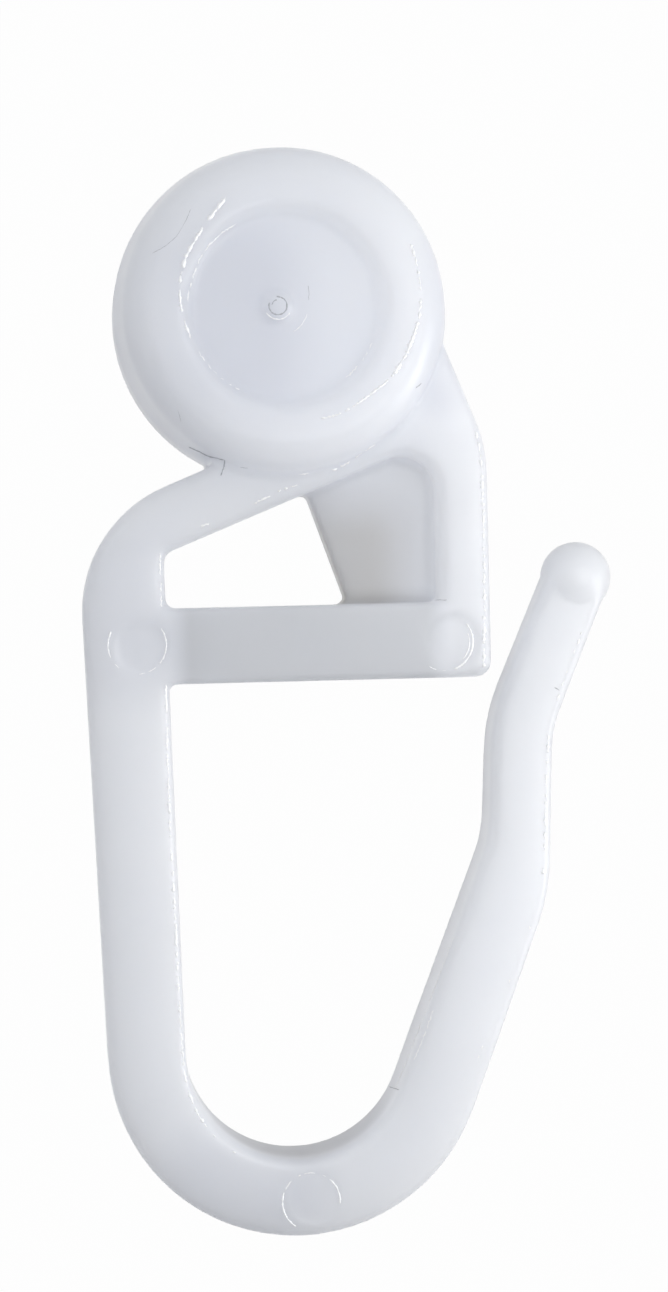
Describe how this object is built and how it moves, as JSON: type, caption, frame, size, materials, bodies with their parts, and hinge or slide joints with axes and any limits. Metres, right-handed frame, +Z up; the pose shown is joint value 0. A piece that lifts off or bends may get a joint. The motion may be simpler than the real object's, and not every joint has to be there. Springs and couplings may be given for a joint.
{
  "type": "curtain glider",
  "caption": "One-piece moulded curtain glider: a round dished head that runs in a track, a closed neck frame with a crossbar and thin web, and a sprung U-shaped hook with a ball tip.",
  "frame": {"origin": "centre of the round head, halfway through its width", "axes": "+Z up from the hook to the head, +X along the track towards the sprung arm, +Y from the front face with the moulding marks to the back"},
  "size_m": [0.0128, 0.0042, 0.026],
  "materials": {
    "glider_body": "satin natural-white polymer, slightly translucent"
  },
  "bodies": {
    "root": {"glider_body": "glider_body"}
  },
  "joints": []
}
